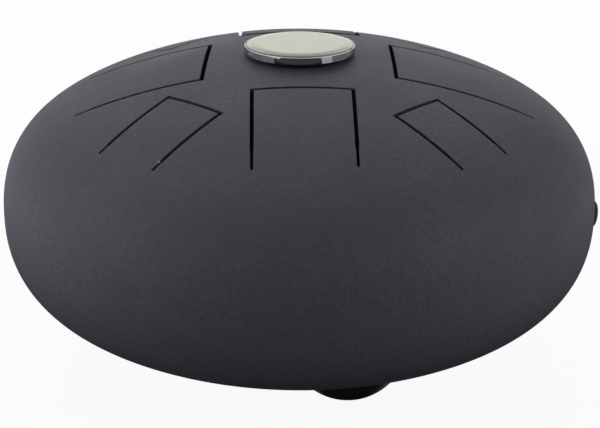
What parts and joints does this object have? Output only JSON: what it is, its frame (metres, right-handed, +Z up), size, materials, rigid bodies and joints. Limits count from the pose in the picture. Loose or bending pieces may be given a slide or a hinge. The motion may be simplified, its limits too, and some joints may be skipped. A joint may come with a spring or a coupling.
{
  "type": "steel tongue drum",
  "caption": "Round steel tongue drum: two welded domed shells with slotted tongues around a crown badge, a sound port below and rubber feet.",
  "frame": {"origin": "on the drum's axis, in the plane that the three feet stand on", "axes": "+Z up along the drum's axis; the front of the drum faces -Y, so +X is to the right as the picture sees it"},
  "size_m": [0.3085, 0.3048, 0.17],
  "materials": {
    "powder_coat": "fine-textured satin charcoal powder coat on steel sheet",
    "chrome": "polished chrome plate",
    "badge_face": "cream label under a glossy domed resin, bare of print",
    "foam": "black double-sided foam pad",
    "rubber": "matt black moulded rubber",
    "zinc_steel": "zinc-plated steel hardware"
  },
  "bodies": {
    "drum": {"upper_shell": "powder_coat", "seam_weld": "powder_coat", "lower_shell": "powder_coat", "badge_bezel": "chrome", "badge_label": "badge_face", "badge_dome": "badge_face", "badge_pad": "foam", "foot_front": "rubber", "foot_rear": "rubber", "foot_left": "rubber", "foot_studs": "zinc_steel", "foot_washers": "zinc_steel", "foot_nuts": "zinc_steel", "side_bumper": "rubber"},
    "tongue_front": {"tongue_front": "powder_coat"},
    "tongue_front_right": {"tongue_front_right": "powder_coat"},
    "tongue_right": {"tongue_right": "powder_coat"},
    "tongue_rear_right": {"tongue_rear_right": "powder_coat"},
    "tongue_rear": {"tongue_rear": "powder_coat"},
    "tongue_rear_left": {"tongue_rear_left": "powder_coat"},
    "tongue_left": {"tongue_left": "powder_coat"},
    "tongue_front_left": {"tongue_front_left": "powder_coat"}
  },
  "joints": [
    {"name": "tongue_front_flex", "type": "hinge", "parent": "drum", "child": "tongue_front", "pos_m": [0.00264, -0.10747, 0.14134], "axis": [-0.9983, -0.0564, -0.0138], "range_deg": [-1, 1], "stiffness_Nm_per_rad": 110},
    {"name": "tongue_front_right_flex", "type": "hinge", "parent": "drum", "child": "tongue_front_right", "pos_m": [0.08725, -0.08325, 0.13536], "axis": [-0.707, -0.7071, 0.0128], "range_deg": [-1, 1], "stiffness_Nm_per_rad": 60},
    {"name": "tongue_right_flex", "type": "hinge", "parent": "drum", "child": "tongue_right", "pos_m": [0.11131, 0.00292, 0.13946], "axis": [0.1925, -0.9782, -0.0779], "range_deg": [-1, 1], "stiffness_Nm_per_rad": 140},
    {"name": "tongue_rear_right_flex", "type": "hinge", "parent": "drum", "child": "tongue_rear_right", "pos_m": [0.08327, 0.08683, 0.13553], "axis": [0.7218, -0.6921, 0], "range_deg": [-1, 1], "stiffness_Nm_per_rad": 60},
    {"name": "tongue_rear_flex", "type": "hinge", "parent": "drum", "child": "tongue_rear", "pos_m": [-0.00231, 0.10978, 0.14002], "axis": [0.9987, 0.0487, -0.0126], "range_deg": [-1, 1], "stiffness_Nm_per_rad": 150},
    {"name": "tongue_rear_left_flex", "type": "hinge", "parent": "drum", "child": "tongue_rear_left", "pos_m": [-0.08611, 0.08257, 0.13601], "axis": [0.6921, 0.7218, 0], "range_deg": [-1, 1], "stiffness_Nm_per_rad": 65},
    {"name": "tongue_left_flex", "type": "hinge", "parent": "drum", "child": "tongue_left", "pos_m": [-0.11055, -0.00068, 0.13983], "axis": [0.0267, 0.9995, 0.0151], "range_deg": [-1, 1], "stiffness_Nm_per_rad": 140},
    {"name": "tongue_front_left_flex", "type": "hinge", "parent": "drum", "child": "tongue_front_left", "pos_m": [-0.08147, -0.08687, 0.1361], "axis": [-0.7466, 0.6651, -0.0136], "range_deg": [-1, 1], "stiffness_Nm_per_rad": 65}
  ]
}
